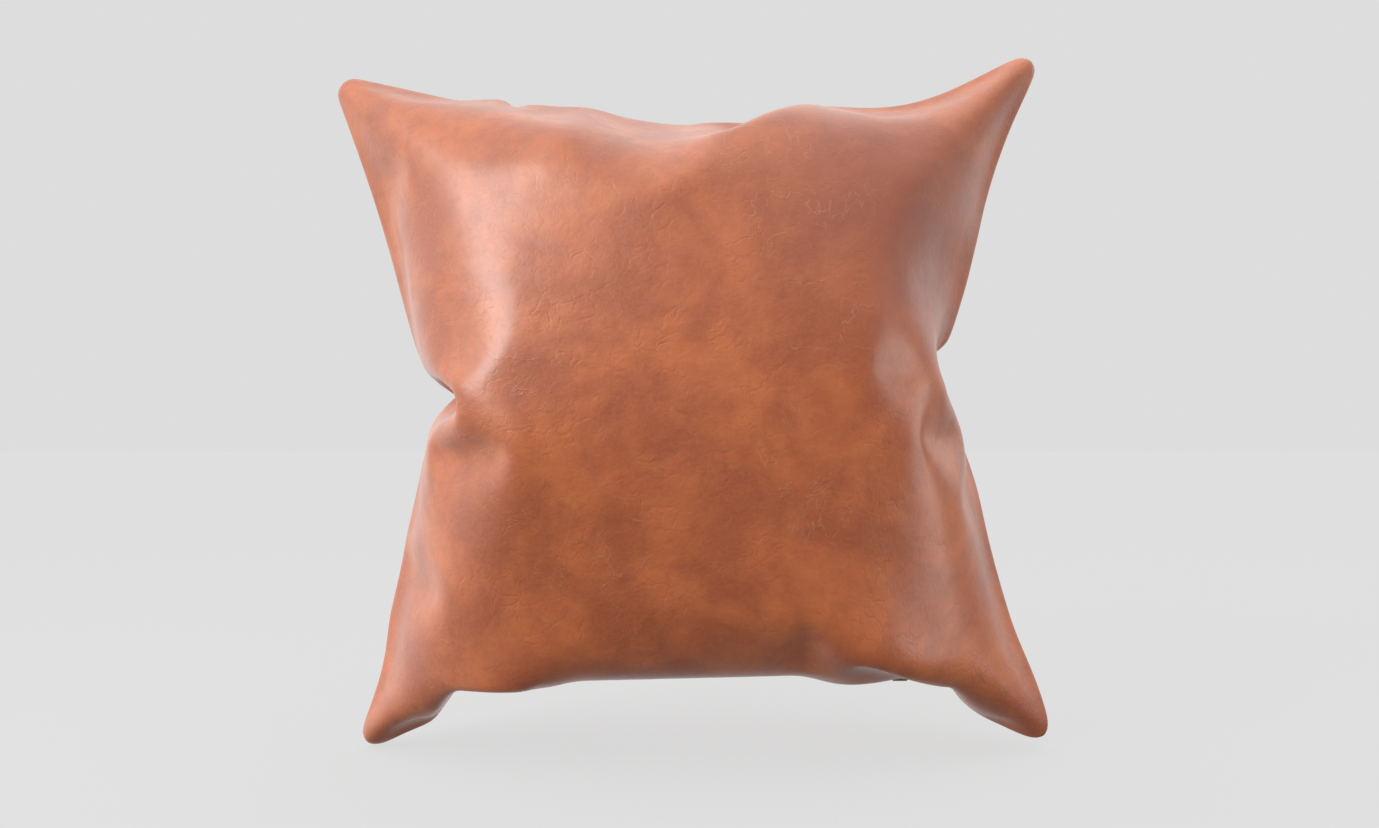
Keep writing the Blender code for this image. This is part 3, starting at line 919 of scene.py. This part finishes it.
def insert_sheet(name, sides, edge_inset, face_inset):
    """One panel, or a closed shape of two that share their edge."""
    count = INSERT_CELLS + 1
    points, faces = [], []
    for side in sides:
        start = len(points)
        points += [
            tuple(insert_place(i, j, side, edge_inset, face_inset))
            for i in range(count) for j in range(count)
        ]
        for i in range(INSERT_CELLS):
            for j in range(INSERT_CELLS):
                first = start + i * count + j
                ring = [first, first + count, first + count + 1, first + 1]
                faces.append(ring if side == FRONT else ring[::-1])
    mesh = bpy.data.meshes.new(name)
    mesh.from_pydata(points, [], faces)
    layer = mesh.uv_layers.new(name="flat_cut")
    for loop in mesh.loops:
        i, j = divmod(loop.vertex_index % (count * count), count)
        layer.data[loop.index].uv = (i * CUT / INSERT_CELLS, j * CUT / INSERT_CELLS)
    piece = bpy.data.objects.new(name, mesh)
    bpy.context.collection.objects.link(piece)
    return piece


print("insert's grid:", INSERT_CELLS, "cells a side")


# %% [markdown]
# The insert is drawn in by set distances, so where the cover folds sharply a point of it could
# still come through the leather. A search tree finds the nearest place on the cover for every
# point, and a point that is too close is moved straight in. This is what a shrinkwrap modifier
# does, but here only the points that need it move.

# %% Tuck a layer inside the cover
def cover_tree():
    """Search tree of the cover's outside, both panels."""
    points, faces = [], []
    for grid, side in ((front_grid, FRONT), (back_grid, BACK)):
        start = len(points)
        points += [Vector(p) for p in grid.reshape(-1, 3)]
        for i in range(CELLS):
            for j in range(CELLS):
                first = start + i * (CELLS + 1) + j
                ring = [first, first + CELLS + 1, first + CELLS + 2, first + 1]
                faces.append(ring if side == FRONT else ring[::-1])
    return BVHTree.FromPolygons(points, faces)


outside = cover_tree()


def tuck_in(mesh, clearance):
    """Moves every point that is closer to the outside than the clearance, or past it."""
    moved = 0
    for vertex in mesh.vertices:
        near, normal, _, _ = outside.find_nearest(vertex.co)
        if (vertex.co - near).dot(normal) > -clearance:
            vertex.co = near - normal * clearance
            moved += 1
    return moved


print("cover's outside is ready to search")

# %% [markdown]
# The case is plain undyed cotton, woven from threads that cross: two wave patterns multiplied
# give the weave. The filling is pale fibre in soft tufts, for which one noise is enough.

# %% Cotton and fibre
COTTON_SHADE = (0.70, 0.68, 0.62, 1)
COTTON_LIGHT = (0.82, 0.80, 0.75, 1)
COTTON_GAPS = (0.55, 0.53, 0.48, 1)
COTTON_THREADS = 420.0
FIBRE_SHADE = (0.74, 0.73, 0.70, 1)
FIBRE_LIGHT = (0.90, 0.89, 0.87, 1)


def cotton_cloth():
    p = Pattern("cotton_cloth")
    cut = p.add("ShaderNodeUVMap", {"uv_map": "flat_cut"}).outputs["UV"]
    warp = p.add("ShaderNodeTexWave", {"bands_direction": "X"}, Vector=cut, Scale=COTTON_THREADS)
    weft = p.add("ShaderNodeTexWave", {"bands_direction": "Y"}, Vector=cut, Scale=COTTON_THREADS)
    weave = p.maths("MULTIPLY", warp.outputs["Fac"], weft.outputs["Fac"])
    slubs = p.noise(cut, 160.0, detail=3.0)
    tone = p.blend(p.spread(slubs, 0.35, 0.7), COTTON_SHADE, COTTON_LIGHT)
    tone = p.blend(p.spread(weave, 0.0, 1.0, 0.25, 0.0), tone, COTTON_GAPS)
    p.put(p.shader.inputs["Base Color"], tone)
    p.shader.inputs["Roughness"].default_value = 0.9
    p.put(p.shader.inputs["Normal"], p.bump(weave, 0.0004, 0.5))
    return p.material


def fibre_filling():
    p = Pattern("fibre_filling")
    where = p.add("ShaderNodeTexCoord").outputs["Object"]
    tufts = p.noise(where, 60.0, detail=5.0, roughness=0.7, distortion=1.2)
    tone = p.blend(p.spread(tufts, 0.3, 0.7), FIBRE_SHADE, FIBRE_LIGHT)
    p.put(p.shader.inputs["Base Color"], tone)
    p.shader.inputs["Roughness"].default_value = 1.0
    p.put(p.shader.inputs["Normal"], p.bump(tufts, 0.004, 0.6))
    return p.material


cotton = cotton_cloth()
fibre = fibre_filling()
print("insert finishes:", cotton.name, fibre.name)


# %% [markdown]
# The two case panels are single sheets, so each gets a wall. The filling is a closed shape whose
# two halves share their edge, so its doubled points are merged and it needs no wall.

# %% The insert's three pieces
MERGE_DISTANCE = 0.00005
CASE_CLEARANCE = 0.0035
FILL_CLEARANCE = 0.006


def finish_insert(piece, cad_node, finish, wall, clearance):
    bpy.ops.object.select_all(action="DESELECT")
    piece.select_set(True)
    bpy.context.view_layer.objects.active = piece
    bpy.ops.object.mode_set(mode="EDIT")
    bpy.ops.mesh.select_all(action="SELECT")
    bpy.ops.mesh.remove_doubles(threshold=MERGE_DISTANCE)
    bpy.ops.object.mode_set(mode="OBJECT")
    smooth = piece.modifiers.new("smooth", "SUBSURF")
    smooth.levels = 1
    smooth.render_levels = 1
    bpy.ops.object.modifier_apply(modifier="smooth")
    moved = tuck_in(piece.data, clearance)
    if wall:
        skin = piece.modifiers.new("wall", "SOLIDIFY")
        skin.thickness = wall
        skin.offset = -1.0
        bpy.ops.object.modifier_apply(modifier="wall")
    bpy.ops.object.shade_smooth()
    piece.data.materials.append(finish)
    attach(piece, "pillow")
    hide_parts(cad_node)
    print(piece.name, len(piece.data.polygons), "faces,", moved, "points tucked in")


CASE_INSETS = (0.013, 0.005)
FILL_INSETS = (0.016, 0.008)
case_front = insert_sheet("case_front", (FRONT,), *CASE_INSETS)
case_back = insert_sheet("case_back", (BACK,), *CASE_INSETS)
filling = insert_sheet("filling", (FRONT, BACK), *FILL_INSETS)
finish_insert(case_front, "insert_case_front", cotton, COTTON, CASE_CLEARANCE)
finish_insert(case_back, "insert_case_back", cotton, COTTON, CASE_CLEARANCE)
finish_insert(filling, "insert_fill", fibre, 0.0, FILL_CLEARANCE)

# %% [markdown]
# ## The zip
# A brass zip closes the bottom seam. Its tapes are sewn to the folds, its teeth meet in the
# slot between them, and the slider runs along the teeth with a pull that swings. Brass that is
# handled goes dull in spots, so one noise moves both its colour and its roughness. The tape's
# ribs are two crossing waves, as in the cotton.

# %% Brass and woven tape
BRASS_BRIGHT = (0.62, 0.44, 0.20, 1)
BRASS_DULL = (0.30, 0.19, 0.09, 1)
TAPE_DARK = (0.045, 0.020, 0.012, 1)
TAPE_LIGHT = (0.115, 0.052, 0.030, 1)


def aged_brass():
    p = Pattern("aged_brass")
    where = p.add("ShaderNodeTexCoord").outputs["Object"]
    tarnish = p.spread(p.noise(where, 320.0, detail=4.0, roughness=0.6), 0.40, 0.70)
    p.put(p.shader.inputs["Base Color"], p.blend(tarnish, BRASS_BRIGHT, BRASS_DULL))
    p.put(p.shader.inputs["Roughness"], p.spread(tarnish, 0.0, 1.0, 0.24, 0.48))
    p.shader.inputs["Metallic"].default_value = 1.0
    scratches = p.noise(where, 900.0, detail=2.0, roughness=0.6)
    p.put(p.shader.inputs["Normal"], p.bump(scratches, 0.0001, 0.25))
    return p.material


def woven_tape():
    p = Pattern("woven_tape")
    where = p.add("ShaderNodeTexCoord").outputs["Object"]
    rows = p.add("ShaderNodeTexWave", {"bands_direction": "X"}, Vector=where, Scale=380.0)
    ribs = p.add("ShaderNodeTexWave", {"bands_direction": "Y"}, Vector=where, Scale=300.0)
    weave = p.maths("MULTIPLY", rows.outputs["Fac"], ribs.outputs["Fac"])
    p.put(p.shader.inputs["Base Color"], p.blend(weave, TAPE_DARK, TAPE_LIGHT))
    p.shader.inputs["Roughness"].default_value = 0.85
    p.put(p.shader.inputs["Normal"], p.bump(weave, 0.0003, 0.6))
    return p.material


brass = aged_brass()
tape = woven_tape()
print("zip finishes:", brass.name, tape.name)


# %% [markdown]
# Small pieces are modelled as by hand: start from a box, pick faces by the way they look, pull
# them out, soften the edges, and copy the finished piece along a row. The operators act on all
# that is selected, so everything is deselected before a piece is started or picked.

# %% Helpers for modelling by hand
SAME_WAY = 0.99
SHARP_ANGLE = math.radians(40)


def start_box(name, centre, dimensions):
    """A box at its size and place, alone selected, ready to be shaped."""
    bpy.ops.object.select_all(action="DESELECT")
    bpy.ops.mesh.primitive_cube_add(size=1, location=centre)
    piece = bpy.context.object
    piece.name = name
    piece.scale = dimensions
    bpy.ops.object.transform_apply(location=False, rotation=False, scale=True)
    return piece


def pick_faces(piece, direction):
    """Enters edit mode with only the faces that look in a direction selected."""
    bpy.ops.object.mode_set(mode="EDIT")
    bpy.ops.mesh.select_mode(type="FACE")
    bpy.ops.mesh.select_all(action="DESELECT")
    bpy.ops.object.mode_set(mode="OBJECT")
    for face in piece.data.polygons:
        face.select = face.normal.dot(Vector(direction)) > SAME_WAY
    bpy.ops.object.mode_set(mode="EDIT")


def soften(piece, width, segments):
    """Bevels every edge, as a tumbled or pressed piece has."""
    edge = piece.modifiers.new("edge", "BEVEL")
    edge.width = width
    edge.segments = segments
    edge.limit_method = "ANGLE"
    bpy.ops.object.modifier_apply(modifier="edge")
    bpy.ops.object.shade_smooth_by_angle(angle=SHARP_ANGLE)


def repeat_in_row(first, name, places):
    """Copies a finished piece to each place, joins the copies and puts the origin at zero."""
    copies = []
    for place in places:
        copy = first.copy()
        copy.data = first.data.copy()
        copy.location = place
        bpy.context.collection.objects.link(copy)
        copies.append(copy)
    bpy.data.objects.remove(first)
    bpy.ops.object.select_all(action="DESELECT")
    for copy in copies:
        copy.select_set(True)
    bpy.context.view_layer.objects.active = copies[0]
    bpy.ops.object.join()
    row = bpy.context.object
    row.name = name
    bpy.ops.object.transform_apply(location=True, rotation=True, scale=True)
    return row


print("hand modelling helpers ready")

# %% [markdown]
# A tooth is a small pressed block with a raised nose, clamped on the edge of the tape. One is
# modelled for each side, softened, and repeated along the slot; the two rows are half a pitch
# apart, so that the noses of one row face the gaps of the other.

# %% Teeth
TOOTH_PITCH = 0.0026
TOOTH_LENGTH = 0.0013
TOOTH_NOSE = 0.0005
TOOTH_EDGE = 0.00018
TOOTH_SHOULDER = 0.00026


def teeth_row(name, cad_node, side):
    low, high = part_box(cad_node)
    reach = high.y - low.y - TOOTH_NOSE
    centre_y = low.y + TOOTH_NOSE * (side == BACK) + reach / 2
    start = low.x + TOOTH_LENGTH / 2 + (TOOTH_PITCH / 2 if side == BACK else 0.0)
    count = int((high.x - TOOTH_LENGTH / 2 - start) / TOOTH_PITCH) + 1
    middle_z = (low.z + high.z) / 2
    tooth = start_box(name, (0, 0, 0), (TOOTH_LENGTH, reach, high.z - low.z))
    pick_faces(tooth, (0, -side, 0))
    bpy.ops.mesh.inset(thickness=TOOTH_SHOULDER)
    bpy.ops.mesh.extrude_region_move(
        TRANSFORM_OT_translate={"value": (0, -side * TOOTH_NOSE, 0)})
    bpy.ops.object.mode_set(mode="OBJECT")
    soften(tooth, TOOTH_EDGE, segments=2)
    places = [(start + k * TOOTH_PITCH, centre_y, middle_z) for k in range(count)]
    row = repeat_in_row(tooth, name, places)
    row.data.materials.clear()
    row.data.materials.append(brass)
    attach(row, "pillow")
    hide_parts(cad_node)
    print(name, count, "teeth")


teeth_row("teeth_front", "zip_teeth_front", FRONT)
teeth_row("teeth_back", "zip_teeth_back", BACK)

# %% [markdown]
# Thread holds the tape to the folded leather. It shows as a row of short stitches on each
# side of the slot, each a small rounded bar that sinks a little into the leather.

# %% Stitches beside the zip
STITCH_PITCH = 0.0042
STITCH_LENGTH = 0.0032
STITCH_WIDTH = 0.0008
STITCH_HEIGHT = 0.0005
STITCH_LINE = 0.0095
STITCH_EDGE = 0.0002
STITCH_SUNK = 0.00005
STITCH_MARGIN = 0.006
THREAD_DARK = (0.20, 0.075, 0.035, 1)
THREAD_LIGHT = (0.36, 0.15, 0.07, 1)


def waxed_thread():
    p = Pattern("waxed_thread")
    where = p.add("ShaderNodeTexCoord").outputs["Object"]
    twist = p.add("ShaderNodeTexWave", {"bands_direction": "DIAGONAL"}, Vector=where, Scale=900.0)
    p.put(p.shader.inputs["Base Color"], p.blend(twist.outputs["Fac"], THREAD_DARK, THREAD_LIGHT))
    p.shader.inputs["Roughness"].default_value = 0.55
    p.put(p.shader.inputs["Normal"], p.bump(twist.outputs["Fac"], 0.0002, 0.5))
    return p.material


thread = waxed_thread()


def stitch_row(name, side):
    stitch = start_box(name, (0, 0, 0), (STITCH_LENGTH, STITCH_WIDTH, STITCH_HEIGHT))
    soften(stitch, STITCH_EDGE, segments=2)
    first, last = ZIP_LEFT + STITCH_MARGIN, ZIP_RIGHT - STITCH_MARGIN
    count = int((last - first) / STITCH_PITCH)
    height = SEAT - STITCH_SUNK
    places = [(first + (k + 0.5) * STITCH_PITCH, side * STITCH_LINE, height) for k in range(count)]
    row = repeat_in_row(stitch, name, places)
    row.data.materials.clear()
    row.data.materials.append(thread)
    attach(row, "pillow")
    print(name, count, "stitches")


stitch_row("stitches_front", FRONT)
stitch_row("stitches_back", BACK)

# %% [markdown]
# The slider, its pull, the stops and the tapes already have their true shape in the packed
# model, so they stay as they are and only get their finish.

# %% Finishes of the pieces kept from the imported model
def give_finish(node, finish):
    materials = frame["nodes"][node].data.materials
    materials.clear()
    materials.append(finish)


METAL_NODES = ["zip_top_stop_front", "zip_top_stop_back", "zip_bottom_stop"]
METAL_NODES += ["zip_slider", "zip_pull"]
TAPE_NODES = ["zip_tape_front", "zip_tape_back"]
for node in METAL_NODES:
    give_finish(node, brass)
for node in TAPE_NODES:
    give_finish(node, tape)
print("dressed:", METAL_NODES + TAPE_NODES)
